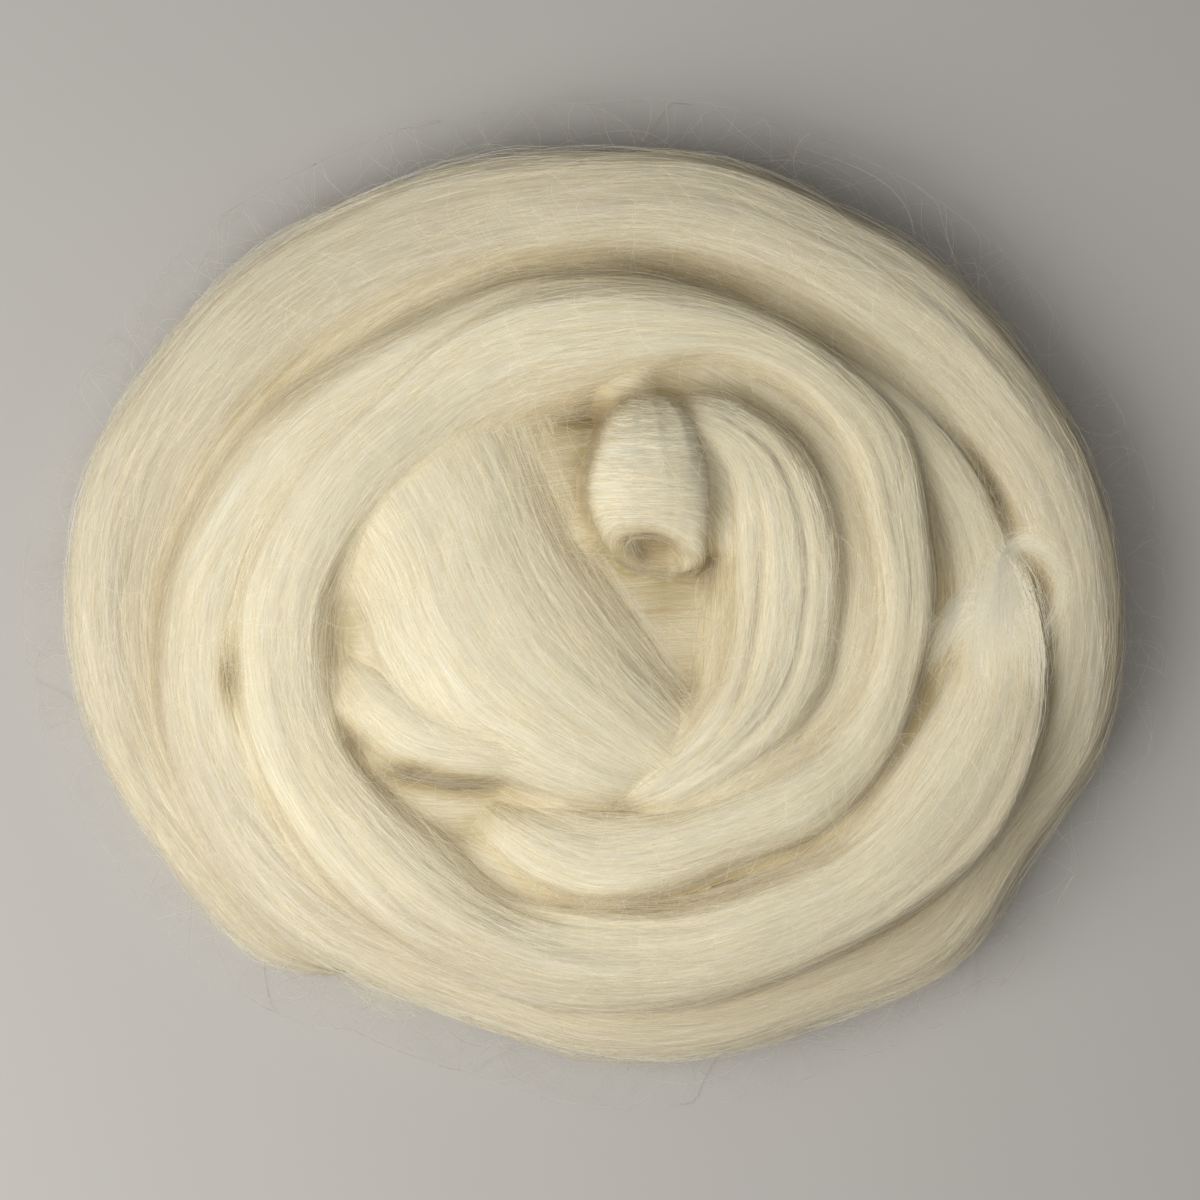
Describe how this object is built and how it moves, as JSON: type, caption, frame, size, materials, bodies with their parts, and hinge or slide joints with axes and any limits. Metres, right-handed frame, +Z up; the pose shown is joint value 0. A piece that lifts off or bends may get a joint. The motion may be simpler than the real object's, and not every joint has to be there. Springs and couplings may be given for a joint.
{
  "type": "wool roving",
  "caption": "A loose nest of undyed wool roving, combed but not spun, laid round in thick soft turns with a pulled loose end and a curled tip.",
  "frame": {"origin": "under the middle of the nest's outline, on the surface that it rests on", "axes": "+Z up out of the nest, +X along its longer side towards the pulled end, +Y towards the side that the curled tip's closed end points to"},
  "size_m": [0.2475, 0.2147, 0.053],
  "materials": {
    "combed_wool": "soft combed cream wool with lengthwise fibres",
    "loose_wool": "the same wool, pulled thin and frayed",
    "curled_wool": "the same wool, fibres wrapped across"
  },
  "bodies": {
    "root": {"wound_nest": "combed_wool", "loose_end": "loose_wool", "curled_tip": "curled_wool"}
  },
  "joints": []
}
